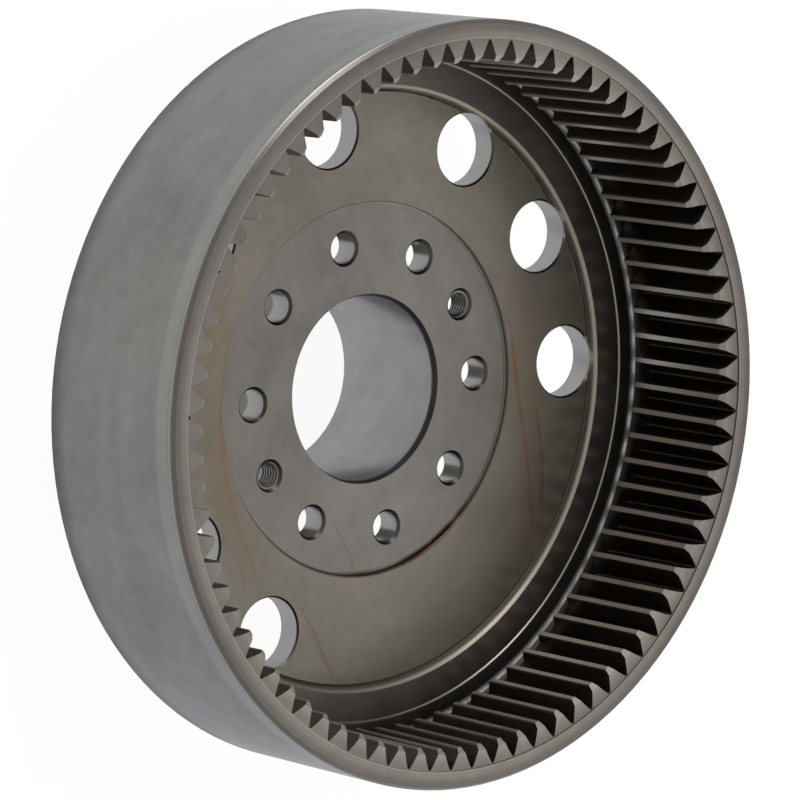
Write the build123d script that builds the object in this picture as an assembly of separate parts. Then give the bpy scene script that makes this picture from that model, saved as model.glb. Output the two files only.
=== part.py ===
from build123d import *
import math
import os

# Internal ring gear with a plate web and a central boss, machined from one piece of steel.
# Millimetres. The bore axis is Z; z = 0 is the end of the boss that the gear stands on,
# and the open, toothed side faces up. The two tapped holes lie on the X axis.

# Teeth: long-addendum involute, cut on the inside of the rim
tooth_count = 81
module = 3.75
pressure_angle = 25.0        # degrees
addendum_factor = 1.25       # tooth height inside the pitch circle, in modules
dedendum_factor = 1.25       # tooth height outside the pitch circle, in modules
tooth_thickening = 0.3       # thickness of each tooth at the pitch circle, beyond half the pitch
root_blend = 0.7             # height over which a tooth space rounds off at its root
tooth_face_width = 56.0      # length of the teeth along the axis
tooth_timing = 0.72          # degrees from the X axis to the centre of the nearest tooth space
tip_bevel_radial = 2.4       # lead-in bevel on the open end of each tooth tip
tip_bevel_axial = 2.0

# Rim
rim_wall = 8.65              # rim outside the tooth roots
tooth_recess = 0.6           # the tooth ends lie this far below the rim face
recess_clearance = 0.6       # gap between the tooth roots and the step up to the rim face
rim_bevel_radial = 1.5
rim_bevel_axial = 1.9
rim_back_bevel = 1.0

# Relief groove behind the teeth, and the steps down from it to the web
relief_width = 9.7
relief_clearance = 0.8       # depth of the groove outside the tooth roots
relief_corner = 5.0
floor_width = 11.0           # groove floor, from the groove's wall to the step down to the land
floor_step = 0.5
land_width = 15.05           # land, from that step to the edge of the web
land_height = 3.9            # land above the web
land_bevel = 1.75
web_corner = 1.5

# Web, with a shallow recess for the hub on top and a thicker pad behind it
web_thickness = 11.2
flange_margin = 18.4         # recess and pad outside the bolt circle
hub_recess_depth = 1.8
hub_recess_edge = 0.4
flange_pad_height = 2.4
flange_pad_corner = 1.5

# Boss and bore
bore_diameter = 81.2
bore_mouth_radial = 1.2      # steep lead-in at the bore's upper mouth
bore_mouth_axial = 2.8
bore_back_bevel = 0.4
boss_wall = 9.4              # boss around the bore
boss_projection = 53.4       # boss beyond the back of the web
boss_edge = 1.5
boss_root_fillet = 4.0

# Bolt circle: plain and tapped holes through the flange
bolt_circle_diameter = 127.2
plain_hole_diameter = 13.5
plain_hole_bevel = 1.2
plain_hole_angles = (30, 70, 110, 150, 210, 250, 290, 330)
tapped_hole_diameter = 12.0  # at the thread's major diameter
tapped_hole_bevel = 1.3
tapped_hole_angles = (0, 180)

# Large clear holes through the web, which just shave the step around it
web_hole_diameter = 32.0
web_hole_shave = 0.8
web_hole_edge = 0.8
web_hole_angles = (30, 0, -30, -70, -110, -150, 180, 150)

cut_margin = 2.0             # how far cutting shapes run past the material
edge_margin = 0.2            # the same for the cones that break a hole's edge

# Levels along the axis, from the foot of the boss upwards
z_foot = 0.0
z_web_back = z_foot + boss_projection
z_pad_back = z_web_back - flange_pad_height
z_web = z_web_back + web_thickness
z_hub = z_web - hub_recess_depth
z_land = z_web + land_height
z_floor = z_land + floor_step
z_tooth_back = z_floor + relief_width
z_tooth_front = z_tooth_back + tooth_face_width
z_rim = z_tooth_front + tooth_recess

# Radii
pitch_radius = module * tooth_count / 2
tip_radius = pitch_radius - addendum_factor * module
root_radius = pitch_radius + dedendum_factor * module
rim_radius = root_radius + rim_wall
recess_radius = root_radius + recess_clearance
relief_radius = root_radius + relief_clearance
floor_edge_radius = relief_radius - floor_width
land_edge_radius = floor_edge_radius - land_width
bolt_radius = bolt_circle_diameter / 2
hub_recess_radius = bolt_radius + flange_margin
pad_radius = hub_recess_radius
bore_radius = bore_diameter / 2
boss_radius = bore_radius + boss_wall
web_hole_radius = web_hole_diameter / 2
web_hole_circle_radius = land_edge_radius + web_hole_shave - web_hole_radius


def polar(radius, angle):
    """Point at a radius and an angle in radians, in the plane across the axis."""
    return (radius * math.cos(angle), radius * math.sin(angle))


def around(radius, degrees, z):
    """Point on a circle about the axis, at a height."""
    x, y = polar(radius, math.radians(degrees))
    return (x, y, z)


def involute(angle):
    return math.tan(angle) - angle


def space_half_angle(radius):
    """Half the angle that a tooth space takes up at a radius, in radians."""
    at_pitch = math.radians(pressure_angle)
    here = math.acos(pitch_radius * math.cos(at_pitch) / radius)
    at_pitch_circle = math.pi / (2 * tooth_count) - tooth_thickening / (2 * pitch_radius)
    return at_pitch_circle + involute(at_pitch) - involute(here)


def blank_section():
    """Half section of the turned blank, before the teeth and the holes are cut."""
    relief_arc = relief_corner * math.sin(math.pi / 4)
    web_arc = web_corner * math.sin(math.pi / 4)
    boss_arc = boss_root_fillet * math.sin(math.pi / 4)
    pad_arc = flange_pad_corner * math.sin(math.pi / 4)
    with BuildSketch(Plane.XZ) as section:
        with BuildLine():
            # bore, from the foot up, and the hub face
            Polyline(
                (bore_radius + bore_back_bevel, z_foot),
                (bore_radius, z_foot + bore_back_bevel),
                (bore_radius, z_hub - bore_mouth_axial),
                (bore_radius + bore_mouth_radial, z_hub),
                (hub_recess_radius, z_hub),
                (hub_recess_radius, z_web - hub_recess_edge),
                (hub_recess_radius + hub_recess_edge, z_web),
                (land_edge_radius - web_corner, z_web),
            )
            # corner of the web, and the steps up to the groove floor
            ThreePointArc(
                (land_edge_radius - web_corner, z_web),
                (land_edge_radius - web_corner + web_arc, z_web + web_corner - web_arc),
                (land_edge_radius, z_web + web_corner),
            )
            Polyline(
                (land_edge_radius, z_web + web_corner),
                (land_edge_radius, z_land - land_bevel),
                (land_edge_radius + land_bevel, z_land),
                (floor_edge_radius - floor_step / 2, z_land),
                (floor_edge_radius + floor_step / 2, z_floor),
                (relief_radius - relief_corner, z_floor),
            )
            ThreePointArc(
                (relief_radius - relief_corner, z_floor),
                (relief_radius - relief_corner + relief_arc, z_floor + relief_corner - relief_arc),
                (relief_radius, z_floor + relief_corner),
            )
            # groove wall, band that carries the teeth, and the rim
            Polyline(
                (relief_radius, z_floor + relief_corner),
                (relief_radius, z_tooth_back),
                (tip_radius, z_tooth_back),
                (tip_radius, z_tooth_front - tip_bevel_axial),
                (tip_radius + tip_bevel_radial, z_tooth_front),
                (recess_radius, z_tooth_front),
                (recess_radius, z_rim),
                (rim_radius - rim_bevel_radial, z_rim),
                (rim_radius, z_rim - rim_bevel_axial),
                (rim_radius, z_web_back + rim_back_bevel),
                (rim_radius - rim_back_bevel, z_web_back),
                (pad_radius + flange_pad_corner, z_web_back),
            )
            # back of the web, flange pad and boss
            ThreePointArc(
                (pad_radius + flange_pad_corner, z_web_back),
                (pad_radius + flange_pad_corner - pad_arc, z_web_back - flange_pad_corner + pad_arc),
                (pad_radius, z_web_back - flange_pad_corner),
            )
            Polyline(
                (pad_radius, z_web_back - flange_pad_corner),
                (pad_radius, z_pad_back),
                (boss_radius + boss_root_fillet, z_pad_back),
            )
            ThreePointArc(
                (boss_radius + boss_root_fillet, z_pad_back),
                (boss_radius + boss_root_fillet - boss_arc, z_pad_back - boss_root_fillet + boss_arc),
                (boss_radius, z_pad_back - boss_root_fillet),
            )
            Polyline(
                (boss_radius, z_pad_back - boss_root_fillet),
                (boss_radius, z_foot + boss_edge),
                (boss_radius - boss_edge, z_foot),
                (bore_radius + bore_back_bevel, z_foot),
            )
        make_face()
    return section.sketch


def tooth_space_cutter():
    """All the tooth spaces as one prism: its outline is the mating external tooth form."""
    inner_radius = tip_radius - cut_margin
    blend_radius = root_radius - root_blend
    mid_radius = (inner_radius + blend_radius) / 2
    pitch = 2 * math.pi / tooth_count
    with BuildSketch(Plane.XY.offset(z_tooth_back - cut_margin)) as outline:
        with BuildLine():
            for index in range(tooth_count):
                centre = math.radians(tooth_timing) + index * pitch
                inner, middle, outer = (space_half_angle(r) for r in (inner_radius, mid_radius, blend_radius))
                ThreePointArc(
                    polar(inner_radius, centre - inner),
                    polar(mid_radius, centre - middle),
                    polar(blend_radius, centre - outer),
                )
                ThreePointArc(
                    polar(blend_radius, centre - outer),
                    polar(root_radius, centre),
                    polar(blend_radius, centre + outer),
                )
                ThreePointArc(
                    polar(blend_radius, centre + outer),
                    polar(mid_radius, centre + middle),
                    polar(inner_radius, centre + inner),
                )
                Line(polar(inner_radius, centre + inner), polar(inner_radius, centre + pitch - inner))
        make_face()
    return extrude(outline.sketch, amount=z_rim + cut_margin - (z_tooth_back - cut_margin))


def hole_cutter(radius, edge, z_low, z_face, z_high):
    """Round hole along Z, from z_low to z_high, with its edge broken at the face it enters."""
    upright = (Align.CENTER, Align.CENTER, Align.MIN)
    drill = Pos(0, 0, z_low - cut_margin) * Cylinder(radius, z_high - z_low + 2 * cut_margin, align=upright)
    overrun = edge + edge_margin
    mouth = Pos(0, 0, z_face - edge) * Cone(radius, radius + overrun, overrun, align=upright)
    return drill + mouth


def ring_gear():
    gear = revolve(blank_section(), Axis.Z) - tooth_space_cutter()
    plain_hole = hole_cutter(plain_hole_diameter / 2, plain_hole_bevel, z_pad_back, z_hub, z_hub)
    tapped_hole = hole_cutter(tapped_hole_diameter / 2, tapped_hole_bevel, z_pad_back, z_hub, z_hub)
    # the large holes run up past the step that they shave
    web_hole = hole_cutter(web_hole_radius, web_hole_edge, z_web_back, z_web, z_floor)
    patterns = (
        (plain_hole, bolt_radius, plain_hole_angles),
        (tapped_hole, bolt_radius, tapped_hole_angles),
        (web_hole, web_hole_circle_radius, web_hole_angles),
    )
    for cutter, radius, angles in patterns:
        gear = gear - [Pos(*around(radius, angle, 0)) * cutter for angle in angles]
    return gear


os.makedirs("parts", exist_ok=True)
gear = ring_gear()
gear.label = "ring_gear"
export_step(gear, "parts/ring_gear.step")
print("ring_gear", len(gear.solids()), "solid,", round(gear.volume / 1000, 1), "cm3, height", z_rim)
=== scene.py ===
import math
from types import SimpleNamespace

import bpy
from mathutils import Matrix, Vector


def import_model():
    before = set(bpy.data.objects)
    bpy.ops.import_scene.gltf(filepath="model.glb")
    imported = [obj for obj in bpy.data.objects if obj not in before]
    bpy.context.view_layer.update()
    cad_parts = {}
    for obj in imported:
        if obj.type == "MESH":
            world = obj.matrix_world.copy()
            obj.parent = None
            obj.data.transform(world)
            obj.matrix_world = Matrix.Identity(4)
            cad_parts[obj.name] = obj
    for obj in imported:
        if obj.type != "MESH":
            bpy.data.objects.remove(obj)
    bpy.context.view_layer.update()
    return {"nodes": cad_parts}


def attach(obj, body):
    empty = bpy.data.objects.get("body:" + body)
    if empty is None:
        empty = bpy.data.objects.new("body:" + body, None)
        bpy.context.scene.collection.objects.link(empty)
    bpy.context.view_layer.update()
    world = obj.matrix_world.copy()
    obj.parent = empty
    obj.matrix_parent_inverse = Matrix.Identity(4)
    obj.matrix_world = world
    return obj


# Internal ring gear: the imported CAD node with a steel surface, and the threads of its two tapped holes.
# Metres and degrees, with the bore axis along Z, as in the CAD model.

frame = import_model()

# Radii of the gear that the surface finish and the threads follow
RIM_RADIUS = 0.1652
ROOT_RADIUS = 0.1566
HOLLOW_RADIUS = 0.1541      # middle of the hollow corner of the relief groove
TIP_RADIUS = 0.1472
STEP_RADIUS = 0.1464        # step between the groove floor and the land
LAND_RADIUS = 0.1313        # inner edge of the land
HUB_RADIUS = 0.0820         # edge of the hub recess
BORE_RADIUS = 0.0406
BOLT_CIRCLE = 0.0636

# Levels along the axis
RIM_Z = 0.1353
TOOTH_FRONT_Z = 0.1347
TOOTH_BACK_Z = 0.0787
GROOVE_FLOOR_Z = 0.0690
LAND_Z = 0.0685
WEB_Z = 0.0646
HUB_Z = 0.0628
WEB_BACK_Z = 0.0534
PAD_Z = 0.0510

# Threads, M12 x 1.75, clear of the ends of their holes
THREAD_MAJOR = 0.0060
THREAD_MINOR = 0.00512
THREAD_PITCH = 0.00175
THREAD_WALL = 0.00008       # metal left behind the thread's root
THREAD_CREST = 0.25         # widths of the flat crest and root, as shares of the pitch
THREAD_ROOT = 0.125
THREAD_CREASE = 25          # edges that turn further than this stay sharp
THREAD_LOW = PAD_Z + 0.0002
THREAD_HIGH = HUB_Z - 0.0012
THREAD_SIDES = 64
THREAD_ROWS = 120

# Colours of the steel, as metal reflects them, among them painted shade and painted highlights
WEB_COLOUR = (0.210, 0.191, 0.160)
HUB_COLOUR = (0.206, 0.191, 0.176)
# Dark colour for grime, for the dark line inside the rim bevel, and for painted shade on the hub recess wall
GRIME_AND_SHADE_COLOUR = (0.085, 0.068, 0.056)
BORE_COLOUR = (0.300, 0.298, 0.308)
LEAD_IN_COLOUR = (0.130, 0.122, 0.114)
HOLE_COLOUR = (0.320, 0.316, 0.316)
HOLE_EDGE_COLOUR = (0.060, 0.055, 0.050)
TOOTH_END_COLOUR = (0.262, 0.234, 0.205)
TIP_COLOUR = (0.420, 0.395, 0.365)
TIP_BEVEL_COLOUR = (0.250, 0.236, 0.220)
# Painted shade: the flanks and roots between the teeth
FLANK_COLOUR = (0.085, 0.074, 0.066)
TOOTH_FOOT_COLOUR = (0.186, 0.167, 0.152)
RIM_FACE_COLOUR = (0.210, 0.188, 0.171)
RIM_EDGE_COLOUR = (0.146, 0.131, 0.121)
RIM_BEVEL_COLOUR = (0.108, 0.098, 0.091)
OUTSIDE_COLOUR = (0.193, 0.195, 0.201)
OUTSIDE_STAIN_COLOUR = (0.197, 0.200, 0.187)
LAND_COLOUR = (0.138, 0.122, 0.111)
LAND_FOOT_COLOUR = (0.045, 0.039, 0.033)
LAND_WALL_COLOUR = (0.120, 0.106, 0.088)
# Painted shade: the groove floor under the teeth and the groove's wall
GROOVE_FLOOR_COLOUR = (0.110, 0.098, 0.090)
GROOVE_WALL_COLOUR = (0.015, 0.014, 0.013)
# Painted highlight: the bright line in the groove's hollow corner
HOLLOW_HIGHLIGHT_COLOUR = (0.530, 0.510, 0.490)
# Bright colours of worn edges, also used for the painted highlights
BRIGHT_COLOUR = (0.520, 0.510, 0.490)
WARM_BRIGHT_COLOUR = (0.400, 0.355, 0.280)
RUST_COLOUR = (0.204, 0.122, 0.062)
DARK_RUST_COLOUR = (0.055, 0.024, 0.015)
SPECULAR_TINT = (0.80, 0.80, 0.83)

# Noise patterns, in repeats per metre
CLOUDS = {"scale": 14.0, "detail": 3.0, "rough": 0.55, "distortion": 0.6}
MOTTLING = {"scale": 170.0, "detail": 6.0, "rough": 0.65}
STAIN_PATCHES = {"scale": 22.0, "detail": 3.0, "rough": 0.6}
GLOSS_PATCHES = {"scale": 60.0, "detail": 4.0, "rough": 0.6}
RUST_PATCHES = {"scale": 90.0, "detail": 4.0, "rough": 0.6}
CAUGHT_PATCHES = {"scale": 60.0, "detail": 3.0, "rough": 0.6}
WANDER = {"scale": 30.0, "detail": 2.0}

# Noise patterns in their own drawn-out space
STREAKS = {"scale": 1.0, "detail": 4.0}
STREAKS_ROUND = 2.2         # repeats per radian
STREAKS_ACROSS = 60.0       # repeats per metre
MARKS = {"scale": 1.0, "detail": 2.0}
MARKS_PER_METRE = 2600.0
WALL_MARKS = 7.0            # keeps the marks on the walls unlike those on the faces
NOISE_RANGE = (0.3, 0.7)    # where most values of a noise lie

# Uneven oxidation: share by which clouds, streaks and mottling lighten and darken the steel; and painted
# shade, on one side of the web and hub and toward the back edge of the outside
CLOUD_DEPTH = 0.07
BORE_CLOUD_SHARE = 0.3
STREAK_DEPTH = 0.05
MOTTLE_DEPTH = 0.05
OUTSIDE_MOTTLE_DEPTH = 0.06
SHADE_DEPTH = 0.15
EDGE_SHADE_DEPTH = 0.42

# How strongly edges are rubbed bright and given painted highlights, lines and rust held dark, and one side
# of the rim darkened by painted shade
NEAR_EDGE_WEAR_AND_SHEEN = 0.13
LOW_EDGE_HIGHLIGHT = 0.22
RIM_STEP_WEAR_AND_HIGHLIGHT = 0.3
LAND_WEAR_AND_HIGHLIGHT = 0.38
INNER_STEP_WEAR_AND_HIGHLIGHT = 0.85
RECESS_FOOT_HIGHLIGHT = 0.5
INNER_DARK_LINE = 0.35
RECESS_GRIME = 0.85
CAUGHT_RUST = 0.9
RIM_SIDE_SHADE = 0.45

# Roughness of the steel and of its bevels, and the depth of its turning marks
ROUGHNESS = (0.32, 0.37)
RIM_BEVEL_ROUGHNESS = 0.42
LAND_EDGE_ROUGHNESS = 0.5
LAND_FOOT_ROUGHNESS = 0.6
TOOTH_BEVEL_ROUGHNESS = 0.65
MARK_STRENGTH = 0.12
MARK_DEPTH = 0.00002
ANISOTROPY = 0.5
ACROSS_MARKS = 0.25         # quarter turn from the way round the axis

# Which way surfaces face: limits of the share of the normal that points up the axis, and the fade
WALL_TILT = (0.25, 0.35)
FRONT_TILT = (0.8, 0.15)
TOOTH_BEVEL_TILT = (0.3, 0.95, 0.05)
HOLE_EDGE_TILT = (0.55, 0.85, 0.04)

# Sides of the gear that look different, by stains and grime, and by painted shade and painted highlights: an
# angle about the axis, and how far it reaches either way
DARK_TEETH_SIDE = (300, 70)
SHADED_RIM_SIDE = (280, 45)
STAINED_SIDE = (285, 75)
SHADED_SIDE = (305, 95)
SHADED_RECESS_SIDE = (130, 130)
GRIMY_RECESS_SIDE = (48, 58)
HIGHLIT_RECESS_SIDE = (170, 85)
CAUGHT_RUST_ANGLES = (52, 104, 10)      # from, to, and the fade at either end

# Rust runs on the web and hub, measured across and down from the bore axis; down is RUN_TURN from Y.
# The last two are broad brown hazes.
RUN_TURN = 36.4
RUN_WANDER = 0.0012
RUST_RUNS = (
    # start, end, bow, half width, strength
    ((0.079, -0.030), (0.050, 0.088), 0.014, 0.0026, 0.75),
    ((0.066, 0.068), (0.062, 0.088), 0.0, 0.0024, 0.4),
    ((0.031, 0.093), (0.007, 0.128), 0.0, 0.0019, 0.7),
    ((0.014, 0.057), (-0.001, 0.080), -0.002, 0.0013, 0.5),
    ((-0.079, -0.033), (-0.107, 0.073), -0.001, 0.0022, 0.95),
    ((-0.096, -0.005), (-0.109, 0.061), -0.003, 0.002, 0.9),
    ((-0.078, -0.051), (-0.087, -0.037), 0.0, 0.0018, 0.4),
    ((-0.082, -0.060), (-0.102, 0.080), -0.004, 0.016, 0.3),
    ((0.085, -0.060), (0.062, 0.080), 0.014, 0.016, 0.25),
)

# Studio: a floor just below the gear's foot, white surroundings, two square lamps and the camera
FLOOR_HALF = 8.0
FLOOR_LEVEL = -0.0002
FLOOR_GREY = (0.8, 0.8, 0.8)
FLOOR_LIT_GREY = (0.13, 0.13, 0.13)
FLOOR_GLOW = 0.92
WHITE = (1.0, 1.0, 1.0)
SOFT_LIGHT = 0.5
SHOWN_LIGHT = 1.0
LAMPS = (
    # name, azimuth, elevation, distance, size, power
    ("softbox_left", 241, 18, 2.2, 1.0, 30.0),
    ("softbox_right", 92, 20, 2.2, 1.2, 20.0),
)
CAMERA_AZIMUTH = -43.57
CAMERA_ELEVATION = 48.34
CAMERA_ROLL = 99.56
CAMERA_DISTANCE = 2.182
CAMERA_AIM = (0.0069, -0.0034, 0.0944)
CAMERA_LENS = 228.0         # millimetres, like the sensor
CAMERA_SENSOR = 36.0
CAMERA_CLIP = (0.05, 50.0)


class Graph:
    """Wires up a node tree; every value may be a number, a colour or another node's output."""

    def __init__(self, tree):
        self.tree = tree
        tree.nodes.clear()

    def feed(self, socket, value):
        if isinstance(value, bpy.types.NodeSocket):
            self.tree.links.new(value, socket)
        elif socket.type == "RGBA":
            socket.default_value = (*value, 1.0)
        else:
            socket.default_value = value

    def node(self, kind, inputs=None, **settings):
        made = self.tree.nodes.new(kind)
        for name, value in settings.items():
            setattr(made, name, value)
        for name, value in (inputs or {}).items():
            self.feed(made.inputs[name], value)
        return made

    def math(self, operation, *values):
        return self.node("ShaderNodeMath", dict(enumerate(values)), operation=operation).outputs[0]

    def chain(self, operation, values):
        total = values[0]
        for value in values[1:]:
            total = self.math(operation, total, value)
        return total

    def add(self, *values):
        return self.chain("ADD", values)

    def times(self, *values):
        return self.chain("MULTIPLY", values)

    def most(self, *values):
        return self.chain("MAXIMUM", values)

    def minus(self, value, taken):
        return self.math("SUBTRACT", value, taken)

    def magnitude(self, value):
        return self.math("ABSOLUTE", value)

    def rise(self, value, low, high, bottom=0.0, top=1.0):
        """Smooth step from bottom to top as the value goes from low to high."""
        inputs = {0: value, 1: low, 2: high, 3: bottom, 4: top}
        return self.node("ShaderNodeMapRange", inputs, interpolation_type="SMOOTHSTEP").outputs[0]

    def above(self, value, edge, soft):
        """0 up to the edge, rising to 1 over soft beyond it."""
        return self.rise(value, edge, edge + soft)

    def below(self, value, edge, soft):
        """1 up to the edge, falling to 0 over soft beyond it."""
        return self.rise(value, edge, edge + soft, 1.0, 0.0)

    def band(self, value, low, high, soft):
        """1 between low and high, fading over soft either side of each end."""
        rising = self.rise(value, low - soft, low + soft)
        falling = self.rise(value, high - soft, high + soft, 1.0, 0.0)
        return self.times(rising, falling)

    def ring(self, value, middle, half_width):
        """1 where a value is at the middle, fading out by the half width either side."""
        away = self.magnitude(self.minus(value, middle))
        return self.rise(away, half_width * 0.4, half_width, 1.0, 0.0)

    def mix(self, factor, first, second):
        """Colour between two others."""
        return self.node("ShaderNodeMix", {0: factor, 6: first, 7: second}, data_type="RGBA").outputs[2]

    def blend(self, factor, first, second):
        """Number between two others."""
        return self.node("ShaderNodeMix", {0: factor, 2: first, 3: second}).outputs[0]

    def vector(self, x, y, z):
        return self.node("ShaderNodeCombineXYZ", {0: x, 1: y, 2: z}).outputs[0]

    def noise(self, where, scale, detail, rough=0.5, distortion=0.0):
        inputs = {
            "Vector": where,
            "Scale": scale,
            "Detail": detail,
            "Roughness": rough,
            "Distortion": distortion,
        }
        return self.node("ShaderNodeTexNoise", inputs).outputs["Fac"]

    def uneven(self, noise, bottom, top):
        """Number that wanders between bottom and top with a noise."""
        return self.rise(noise, *NOISE_RANGE, bottom, top)


def place(g):
    """Where a shaded point lies on the gear: its coordinates, its radius, and which way its face looks."""
    coordinates = g.node("ShaderNodeTexCoord").outputs
    where = coordinates["Object"]
    x, y, z = g.node("ShaderNodeSeparateXYZ", {0: where}).outputs
    facing = g.node("ShaderNodeSeparateXYZ", {0: coordinates["Normal"]}).outputs[2]
    radius = g.math("SQRT", g.add(g.times(x, x), g.times(y, y)))
    angle = g.math("ARCTAN2", y, x)
    wall = g.below(g.magnitude(facing), *WALL_TILT)
    return SimpleNamespace(where=where, x=x, y=y, z=z, radius=radius, angle=angle, wall=wall, facing=facing)


def toward(g, spot, side):
    """1 on one side of the gear, fading out by the side's half width."""
    middle, half_width = (math.radians(angle) for angle in side)
    along = g.add(g.times(spot.x, math.cos(middle)), g.times(spot.y, math.sin(middle)))
    share = g.math("DIVIDE", along, spot.radius)
    return g.rise(share, math.cos(half_width), math.cos(half_width / 3))


# Masks: each is 1 on the surface or edge that it is named after, and 0 elsewhere. Their numbers are
# distances from the sizes above, and the last number of each is its fade or its half width.


def outside(g, spot):
    """Turned outside of the rim."""
    return g.above(spot.radius, RIM_RADIUS - 0.0013, 0.0011)


def rim_bevel(g, spot):
    """Bevel of the rim's outer edge."""
    beyond_face = g.above(spot.radius, RIM_RADIUS - 0.0017, 0.0003)
    return g.times(beyond_face, g.above(spot.z, RIM_Z - 0.0021, 0.0003))


def rim_face(g, spot):
    """Rim face, which stands a little above the ends of the teeth."""
    return g.above(spot.z, TOOTH_FRONT_Z + 0.0004, 0.0002)


def beside_teeth(g, spot):
    """Everything above the back end of the teeth."""
    return g.above(spot.z, TOOTH_BACK_Z - 0.0002, 0.0004)


def between_teeth(g, spot):
    """Flanks and roots of the teeth."""
    beyond_tip = g.above(spot.radius, TIP_RADIUS + 0.0002, 0.001)
    within_root = g.below(spot.radius, ROOT_RADIUS + 0.0002, 0.0003)
    return g.times(beyond_tip, within_root, beside_teeth(g, spot), spot.wall)


def tooth_tips(g, spot):
    """Lands of the tooth tips."""
    return g.times(g.below(spot.radius, TIP_RADIUS + 0.0001, 0.0002), beside_teeth(g, spot))


def tooth_bevels(g, spot):
    """Lead-in bevels of the tooth tips."""
    return g.times(
        g.band(spot.facing, *TOOTH_BEVEL_TILT),
        g.band(spot.radius, TIP_RADIUS - 0.0005, TIP_RADIUS + 0.0026, 0.0002),
        g.above(spot.z, TOOTH_FRONT_Z - 0.0024, 0.0004),
    )


def groove(g, spot):
    """Relief groove behind the teeth, its floor and the land."""
    return g.times(
        g.above(spot.radius, LAND_RADIUS + 0.0018, 0.0004),
        g.below(spot.radius, ROOT_RADIUS + 0.002, 0.001),
        g.below(spot.z, TOOTH_BACK_Z - 0.0002, 0.0004),
        g.above(spot.z, WEB_Z, 0.001),
    )


def inner_step(g, spot):
    """Low step between the groove floor and the land."""
    low_to_high = g.band(spot.z, LAND_Z - 0.0004, GROOVE_FLOOR_Z + 0.0002, 0.0002)
    return g.times(g.ring(spot.radius, STEP_RADIUS, 0.0012), low_to_high)


def land_edge(g, spot):
    """Bevelled edge of the land."""
    raised = g.above(spot.z, LAND_Z - 0.0014, 0.0006)
    return g.times(g.ring(spot.radius, LAND_RADIUS + 0.0014, 0.0009), raised)


def land_foot(g, spot):
    """Rounded foot and wall of the land."""
    across = g.band(spot.radius, LAND_RADIUS - 0.0024, LAND_RADIUS + 0.0006, 0.0003)
    return g.times(across, g.above(spot.z, WEB_Z + 0.00001, 0.00004))


def drilled_zone(g, spot):
    """Where the holes are: beyond the boss, and clear of the edge of the hub recess."""
    in_flange = g.below(spot.radius, HUB_RADIUS - 0.001, 0.001)
    in_web = g.above(spot.radius, HUB_RADIUS + 0.005, 0.001)
    return g.times(g.most(in_flange, in_web), g.above(spot.radius, BORE_RADIUS + 0.012, 0.001))


# Colours, from the broad surfaces to the edges and the rust


def inner_colour(g, spot):
    """Web, hub, the lead-in of the bore and the bore itself."""
    colour = g.mix(g.below(spot.radius, HUB_RADIUS, 0.0005), WEB_COLOUR, HUB_COLOUR)
    colour = g.mix(g.below(spot.radius, BORE_RADIUS + 0.0011, 0.0002), colour, LEAD_IN_COLOUR)
    return g.mix(g.below(spot.radius, BORE_RADIUS + 0.0001, 0.0002), colour, BORE_COLOUR)


def rim_colour(g, spot):
    """Tooth ends, lighter toward their tips, and the rim face, darker toward its outer edge; both with
    painted shade on one side.
    """
    # Painted shade: the tooth ends darker on one side
    end = g.mix(toward(g, spot, DARK_TEETH_SIDE), TOOTH_END_COLOUR, TOOTH_FOOT_COLOUR)
    colour = g.mix(g.rise(spot.radius, TIP_RADIUS + 0.002, ROOT_RADIUS - 0.001), end, TOOTH_FOOT_COLOUR)
    face = g.mix(g.above(spot.radius, RIM_RADIUS - 0.0065, 0.0035), RIM_FACE_COLOUR, RIM_EDGE_COLOUR)
    colour = g.mix(g.above(spot.radius, ROOT_RADIUS + 0.0004, 0.0004), colour, face)
    # Painted shade: the rim darker on one side
    return g.mix(g.times(toward(g, spot, SHADED_RIM_SIDE), RIM_SIDE_SHADE), colour, RIM_EDGE_COLOUR)


def outside_colour(g, spot):
    """Turned outside of the rim, stained greener in patches on one side."""
    patches = g.rise(g.noise(spot.where, **STAIN_PATCHES), 0.3, 0.5)
    stained = g.times(patches, toward(g, spot, STAINED_SIDE))
    return g.mix(stained, OUTSIDE_COLOUR, OUTSIDE_STAIN_COLOUR)


def groove_colour(g, spot, colour):
    """Land; the groove floor and the groove's wall, darkened by painted shade; and a painted highlight line
    in the groove's hollow corner.
    """
    inside = groove(g, spot)
    # Painted shade: the groove floor and the groove's wall are darkened
    level = g.mix(g.above(spot.radius, STEP_RADIUS - 0.0004, 0.0008), LAND_COLOUR, GROOVE_FLOOR_COLOUR)
    level = g.mix(g.above(spot.z, GROOVE_FLOOR_Z + 0.0005, 0.001), level, GROOVE_WALL_COLOUR)
    colour = g.mix(inside, colour, level)
    # Painted highlight along the hollow corner
    hollow = g.times(inside, g.ring(spot.radius, HOLLOW_RADIUS, 0.0014))
    return g.mix(hollow, colour, HOLLOW_HIGHLIGHT_COLOUR)


def broad_colour(g, spot):
    """Colour of the broad faces: warm on the web, cooler on the hub and the bore, grey-green outside, with
    painted shade between the teeth and in the relief groove.
    """
    at_rim = g.above(spot.z, TOOTH_BACK_Z + 0.002, 0.001)
    colour = g.mix(at_rim, inner_colour(g, spot), rim_colour(g, spot))
    colour = g.mix(outside(g, spot), colour, outside_colour(g, spot))
    colour = groove_colour(g, spot, colour)
    # Painted shade between the teeth
    return g.mix(between_teeth(g, spot), colour, FLANK_COLOUR)


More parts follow.
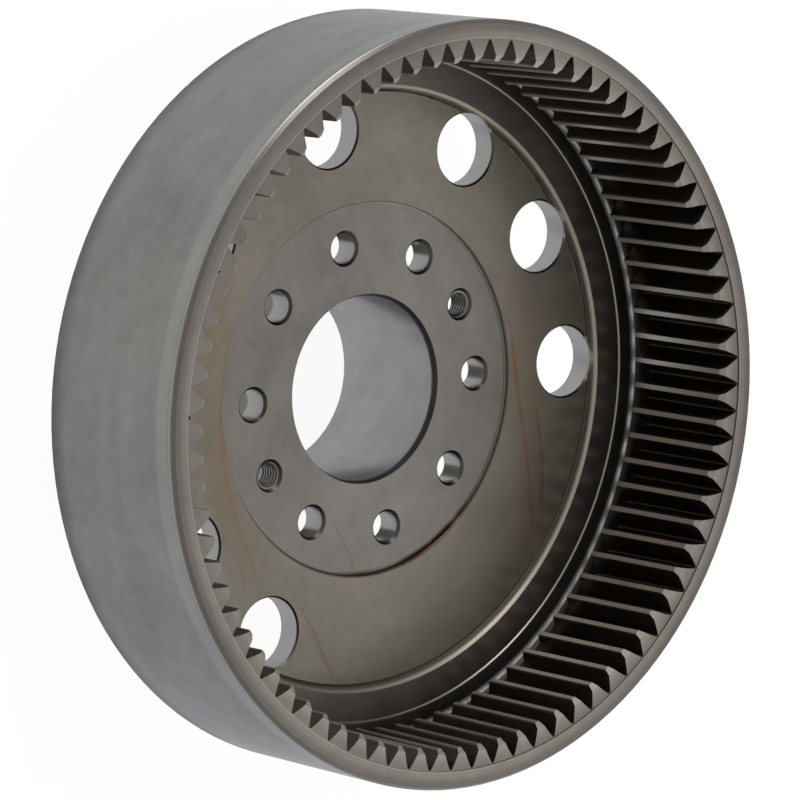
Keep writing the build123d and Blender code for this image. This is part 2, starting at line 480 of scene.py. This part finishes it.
def oxide_and_painted_shade(g, spot):
    """Brightness of the uneven oxidation, in broad clouds, streaks drawn out round the gear and fine
    mottling, and of painted shade on one side of the web and hub and toward the outside's back edge.
    """
    drawn_out = g.vector(
        g.times(spot.angle, STREAKS_ROUND),
        g.times(spot.radius, STREAKS_ACROSS),
        g.times(spot.z, STREAKS_ACROSS),
    )
    clouds = g.uneven(g.noise(spot.where, **CLOUDS), -CLOUD_DEPTH, CLOUD_DEPTH)
    streaks = g.uneven(g.noise(drawn_out, **STREAKS), -STREAK_DEPTH, STREAK_DEPTH)
    mottling = g.uneven(g.noise(spot.where, **MOTTLING), -1.0, 1.0)
    cloudiness = g.rise(spot.radius, BORE_RADIUS, BORE_RADIUS + 0.0013, BORE_CLOUD_SHARE, 1.0)
    outer = outside(g, spot)
    # Painted shade: the web and hub darker on one side, and the outside darker toward its back edge
    return g.add(
        g.times(g.below(spot.radius, LAND_RADIUS, 0.002), toward(g, spot, SHADED_SIDE), -SHADE_DEPTH),
        g.times(outer, g.rise(spot.z, WEB_BACK_Z, WEB_BACK_Z + 0.012, -EDGE_SHADE_DEPTH, 0.0)),
        g.times(clouds, cloudiness),
        streaks,
        g.times(mottling, g.blend(outer, MOTTLE_DEPTH, OUTSIDE_MOTTLE_DEPTH)),
        1.0,
    )


def hole_walls(g, spot, colour):
    """Drilled walls, barer than the faces around them, and the dark broken edges of the holes."""
    zone = drilled_zone(g, spot)
    drilled = g.times(
        spot.wall,
        zone,
        g.below(spot.radius, LAND_RADIUS + 0.001, 0.0002),
        g.below(spot.z, WEB_Z + 0.0001, 0.0002),
    )
    colour = g.mix(drilled, colour, HOLE_COLOUR)
    sloping = g.band(spot.facing, *HOLE_EDGE_TILT)
    broken = g.times(sloping, zone, g.below(spot.radius, LAND_RADIUS - 0.002, 0.0004))
    return g.mix(broken, colour, HOLE_EDGE_COLOUR)


def rim_edges(g, spot, colour):
    """Rubbed band with a painted sheen below the rim's bevel, the dark bevel and its edges, with a painted
    highlight along the low one, and the step inside the rim face, worn and with a painted highlight.
    """
    # Rubbed band below the rim's bevel, partly a painted sheen
    near_edge = g.band(spot.z, RIM_Z - 0.011, RIM_Z - 0.0035, 0.0015)
    colour = g.mix(g.times(outside(g, spot), near_edge, NEAR_EDGE_WEAR_AND_SHEEN), colour, BRIGHT_COLOUR)
    colour = g.mix(rim_bevel(g, spot), colour, RIM_BEVEL_COLOUR)
    face = rim_face(g, spot)
    # Dark line along the inner edge of the rim's bevel
    inner_line = g.times(g.ring(spot.radius, RIM_RADIUS - 0.0016, 0.0005), face, INNER_DARK_LINE)
    colour = g.mix(inner_line, colour, GRIME_AND_SHADE_COLOUR)
    # Painted highlight along the low edge of the rim's bevel
    low_edge = g.times(
        g.ring(spot.radius, RIM_RADIUS, 0.0005),
        g.above(spot.z, RIM_Z - 0.0031, 0.0004),
        g.ring(spot.z, RIM_Z - 0.0019, 0.0010),
        LOW_EDGE_HIGHLIGHT,
    )
    # The step inside the rim face: worn, with a painted highlight
    step = g.times(g.ring(spot.radius, ROOT_RADIUS + 0.0006, 0.00045), face, RIM_STEP_WEAR_AND_HIGHLIGHT)
    return g.mix(g.most(low_edge, step), colour, BRIGHT_COLOUR)


def recess_edge(g, spot, colour):
    """Edge of the hub recess: painted shade on its wall, grime along one side, and a painted highlight line
    at the foot of another side.
    """
    # Painted shade on the wall of the hub recess, on one side
    wall = g.times(
        g.ring(spot.radius, HUB_RADIUS + 0.0002, 0.0006),
        g.above(spot.z, HUB_Z + 0.0003, 0.0005),
        toward(g, spot, SHADED_RECESS_SIDE),
    )
    grime = g.times(
        g.ring(spot.radius, HUB_RADIUS + 0.0001, 0.0012),
        toward(g, spot, GRIMY_RECESS_SIDE),
        RECESS_GRIME,
    )
    # Painted highlight at the foot of the recess wall, on one side
    foot = g.times(
        g.ring(spot.radius, HUB_RADIUS - 0.0001, 0.0006),
        g.below(spot.z, HUB_Z + 0.0004, 0.0004),
        toward(g, spot, HIGHLIT_RECESS_SIDE),
        RECESS_FOOT_HIGHLIGHT,
    )
    colour = g.mix(g.most(wall, grime), colour, GRIME_AND_SHADE_COLOUR)
    return g.mix(foot, colour, BRIGHT_COLOUR)


def worn_and_highlit_edges(g, spot, colour):
    """The land's dark foot, and edges rubbed bright: the land and the step beyond it, worn and with painted
    highlights, and the tooth bevels.
    """
    up_the_wall = g.above(spot.radius, LAND_RADIUS - 0.0006, 0.0006)
    colour = g.mix(land_foot(g, spot), colour, g.mix(up_the_wall, LAND_FOOT_COLOUR, LAND_WALL_COLOUR))
    # The land's edge and the step beyond it: worn, with painted highlights
    worn = g.most(land_edge(g, spot), g.times(inner_step(g, spot), INNER_STEP_WEAR_AND_HIGHLIGHT))
    colour = g.mix(g.times(worn, LAND_WEAR_AND_HIGHLIGHT), colour, WARM_BRIGHT_COLOUR)
    return g.mix(tooth_bevels(g, spot), colour, TIP_BEVEL_COLOUR)


def rust_run(g, across, down, start, end, bow, half_width):
    """Run of rust from start to end, in metres across and down, bowed sideways."""
    share = g.math("DIVIDE", g.minus(down, start[1]), end[1] - start[1])
    bend = g.times(share, g.minus(1.0, share), 4 * bow)
    line = g.add(start[0], g.times(share, end[0] - start[0]), bend)
    side = g.magnitude(g.minus(across, line))
    return g.times(g.below(side, 0.0, half_width), g.band(share, 0.05, 0.95, 0.12))


def caught_rust(g, spot):
    """1 on the rust caught along the edge of the hub recess."""
    return g.times(
        g.band(spot.angle, *(math.radians(angle) for angle in CAUGHT_RUST_ANGLES)),
        g.band(spot.radius, HUB_RADIUS - 0.0016, HUB_RADIUS + 0.0006, 0.0008),
        g.rise(g.noise(spot.where, **CAUGHT_PATCHES), 0.3, 0.55, 0.3, 1.0),
        CAUGHT_RUST,
    )


def rust(g, spot, colour):
    """Thin brown runs down the web and the hub, and darker rust caught along the hub recess."""
    turn = math.radians(RUN_TURN)
    wander = g.rise(g.noise(spot.where, **WANDER), 0.2, 0.8, -RUN_WANDER, RUN_WANDER)
    across = g.add(g.minus(g.times(spot.x, math.cos(turn)), g.times(spot.y, math.sin(turn))), wander)
    down = g.add(g.times(spot.x, math.sin(turn)), g.times(spot.y, math.cos(turn)))
    runs = 0.0
    for *course, strength in RUST_RUNS:
        runs = g.most(runs, g.times(rust_run(g, across, down, *course), strength))
    front = g.times(g.above(spot.facing, *FRONT_TILT), g.below(spot.z, LAND_Z, 0.001))
    patchy = g.rise(g.noise(spot.where, **RUST_PATCHES), 0.3, 0.6, 0.5, 1.0)
    colour = g.mix(g.times(runs, patchy, front), colour, RUST_COLOUR)
    return g.mix(caught_rust(g, spot), colour, DARK_RUST_COLOUR)


def surface_colour(g, spot):
    """Colour of the whole gear."""
    broad = {0: broad_colour(g, spot), "Scale": oxide_and_painted_shade(g, spot)}
    colour = g.node("ShaderNodeVectorMath", broad, operation="SCALE").outputs[0]
    colour = g.mix(tooth_tips(g, spot), colour, TIP_COLOUR)
    for finish in (hole_walls, rim_edges, recess_edge, worn_and_highlit_edges, rust):
        colour = finish(g, spot, colour)
    return colour


def surface_roughness(g, spot):
    """Roughness of the whole gear: uneven, and duller on the bevels and at the foot of the land."""
    rough = g.uneven(g.noise(spot.where, **GLOSS_PATCHES), *ROUGHNESS)
    rough = g.blend(rim_bevel(g, spot), rough, RIM_BEVEL_ROUGHNESS)
    rough = g.blend(land_foot(g, spot), rough, LAND_FOOT_ROUGHNESS)
    rough = g.blend(land_edge(g, spot), rough, LAND_EDGE_ROUGHNESS)
    return g.blend(tooth_bevels(g, spot), rough, TOOTH_BEVEL_ROUGHNESS)


def turning_marks(g, spot):
    """Height of the fine turning marks: rings on the faces, and rings along the walls."""
    on_face = g.noise(g.vector(g.times(spot.radius, MARKS_PER_METRE), 0.0, 0.0), **MARKS)
    on_wall = g.noise(g.vector(g.times(spot.z, MARKS_PER_METRE), WALL_MARKS, 0.0), **MARKS)
    return g.blend(spot.wall, on_face, on_wall)


def new_graph(owner):
    """Empty node tree of a material or a world."""
    owner.use_nodes = True
    return Graph(owner.node_tree)


def steel_material():
    """Oxidised steel, whose highlights spread across its turning marks."""
    material = bpy.data.materials.new("gear_steel")
    g = new_graph(material)
    spot = place(g)
    bump = {"Strength": MARK_STRENGTH, "Distance": MARK_DEPTH, "Height": turning_marks(g, spot)}
    inputs = {
        "Base Color": surface_colour(g, spot),
        "Metallic": 1.0,
        "Roughness": surface_roughness(g, spot),
        "Specular Tint": SPECULAR_TINT,
        "Anisotropic": ANISOTROPY,
        "Anisotropic Rotation": ACROSS_MARKS,
        "Tangent": g.node("ShaderNodeTangent", direction_type="RADIAL", axis="Z").outputs[0],
        "Normal": g.node("ShaderNodeBump", bump).outputs[0],
    }
    shader = g.node("ShaderNodeBsdfPrincipled", inputs)
    g.node("ShaderNodeOutputMaterial", {0: shader.outputs[0]})
    return material


def add_mesh(name, points, faces, material):
    """Mesh object in the scene, with one material."""
    mesh = bpy.data.meshes.new(name)
    mesh.from_pydata(points, [], faces)
    mesh.materials.append(material)
    made = bpy.data.objects.new(name, mesh)
    bpy.context.scene.collection.objects.link(made)
    return made


def thread_depth(turn):
    """How far an internal thread stands back from its crest, as a share, at a place in its pitch."""
    from_root = abs(turn % 1.0 - 0.5) * 2
    flank_end = 1 - THREAD_CREST
    return min(1.0, max(0.0, (flank_end - from_root) / (flank_end - THREAD_ROOT)))


def thread_points(centre_x, first_turn):
    """Rows of points up the thread, then a ring of points on the hole's wall at either end."""
    turns = [column / THREAD_SIDES for column in range(THREAD_SIDES)]
    deepest = THREAD_MAJOR - THREAD_WALL - THREAD_MINOR
    rows = []
    for row in range(THREAD_ROWS + 1):
        height = (THREAD_HIGH - THREAD_LOW) * row / THREAD_ROWS
        pitches = height / THREAD_PITCH + first_turn
        radii = [THREAD_MINOR + deepest * thread_depth(pitches - turn) for turn in turns]
        rows.append((THREAD_LOW + height, radii))
    for z in (THREAD_LOW, THREAD_HIGH):
        rows.append((z, [THREAD_MAJOR] * THREAD_SIDES))
    return [
        (centre_x + radius * math.cos(math.tau * turn), radius * math.sin(math.tau * turn), z)
        for z, radii in rows
        for turn, radius in zip(turns, radii)
    ]


def thread_faces():
    """Faces of the sleeve: the thread, the outer wall and the flat rings at its ends."""
    top = THREAD_ROWS * THREAD_SIDES
    outer = top + THREAD_SIDES
    outer_top = outer + THREAD_SIDES
    faces = []
    for column in range(THREAD_SIDES):
        after = (column + 1) % THREAD_SIDES
        for low in range(0, top, THREAD_SIDES):
            high = low + THREAD_SIDES
            faces.append((low + column, high + column, high + after, low + after))
        faces.append((outer + column, outer + after, outer_top + after, outer_top + column))
        faces.append((column, after, outer + after, outer + column))
        faces.append((top + column, outer_top + column, outer_top + after, top + after))
    return faces


def thread(name, centre_x, first_turn, material):
    """Threaded sleeve that lines a tapped hole, from its wall to the crests."""
    piece = add_mesh(name, thread_points(centre_x, first_turn), thread_faces(), material)
    piece.data.shade_smooth()
    piece.data.set_sharp_from_angle(angle=math.radians(THREAD_CREASE))
    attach(piece, "root")


def seen_directly(g):
    """1 for the rays that show the background: camera, glossy and transmission rays."""
    rays = g.node("ShaderNodeLightPath").outputs
    return g.most(rays["Is Camera Ray"], rays["Is Glossy Ray"], rays["Is Transmission Ray"])


def floor():
    """Pale floor that shows almost white and keeps the shadow."""
    material = bpy.data.materials.new("floor_white")
    g = new_graph(material)
    plain = g.node("ShaderNodeBsdfDiffuse", {"Color": FLOOR_GREY}).outputs[0]
    lit = g.node("ShaderNodeBsdfDiffuse", {"Color": FLOOR_LIT_GREY}).outputs[0]
    glow = g.node("ShaderNodeEmission", {"Color": WHITE, "Strength": FLOOR_GLOW}).outputs[0]
    shown = g.node("ShaderNodeAddShader", {0: lit, 1: glow}).outputs[0]
    surface = g.node("ShaderNodeMixShader", {0: seen_directly(g), 1: plain, 2: shown}).outputs[0]
    g.node("ShaderNodeOutputMaterial", {0: surface})
    signs = ((-1, -1), (1, -1), (1, 1), (-1, 1))
    corners = [(x * FLOOR_HALF, y * FLOOR_HALF, FLOOR_LEVEL) for x, y in signs]
    plane = add_mesh("floor", corners, [(0, 1, 2, 3)], material)


def world():
    """White surroundings for what is seen, and plain soft light for the rest."""
    made = bpy.data.worlds.new("studio")
    bpy.context.scene.world = made
    g = new_graph(made)
    strength = g.blend(seen_directly(g), SOFT_LIGHT, SHOWN_LIGHT)
    background = g.node("ShaderNodeBackground", {"Color": WHITE, "Strength": strength})
    g.node("ShaderNodeOutputWorld", {0: background.outputs[0]})


def direction(azimuth, elevation):
    """Unit vector toward an azimuth and an elevation."""
    a, e = math.radians(azimuth), math.radians(elevation)
    return Vector((math.cos(a) * math.cos(e), math.sin(a) * math.cos(e), math.sin(e)))


def softbox(name, azimuth, elevation, distance, size, power):
    """Square area light that faces the gear."""
    lamp = bpy.data.lights.new(name, "AREA")
    lamp.shape = "SQUARE"
    lamp.size = size
    lamp.energy = power
    box = bpy.data.objects.new(name, lamp)
    bpy.context.scene.collection.objects.link(box)
    away = direction(azimuth, elevation)
    box.location = Vector((0, 0, RIM_Z / 2)) + away * distance
    box.rotation_euler = away.to_track_quat("Z", "Y").to_euler()


def camera():
    """The photograph's view: from above the open side, rolled so that the rim faces left."""
    data = bpy.data.cameras.new("camera")
    data.lens = CAMERA_LENS
    data.sensor_width = CAMERA_SENSOR
    data.clip_start, data.clip_end = CAMERA_CLIP
    made = bpy.data.objects.new("camera", data)
    bpy.context.scene.collection.objects.link(made)
    away = direction(CAMERA_AZIMUTH, CAMERA_ELEVATION)
    side = Vector((0, 0, 1)).cross(away).normalized()
    level = Matrix((side, away.cross(side), away)).transposed()
    rolled = level @ Matrix.Rotation(math.radians(CAMERA_ROLL), 3, "Z")
    made.matrix_world = Matrix.Translation(Vector(CAMERA_AIM) + away * CAMERA_DISTANCE) @ rolled.to_4x4()
    bpy.context.scene.camera = made


steel = steel_material()
gear = frame["nodes"]["ring_gear"]
gear.data.materials[0] = steel
thread("thread_plus_x", BOLT_CIRCLE, 0.3, steel)
thread("thread_minus_x", -BOLT_CIRCLE, 0.6, steel)
floor()
world()
for settings in LAMPS:
    softbox(*settings)
camera()
bpy.context.scene.view_settings.view_transform = "Standard"
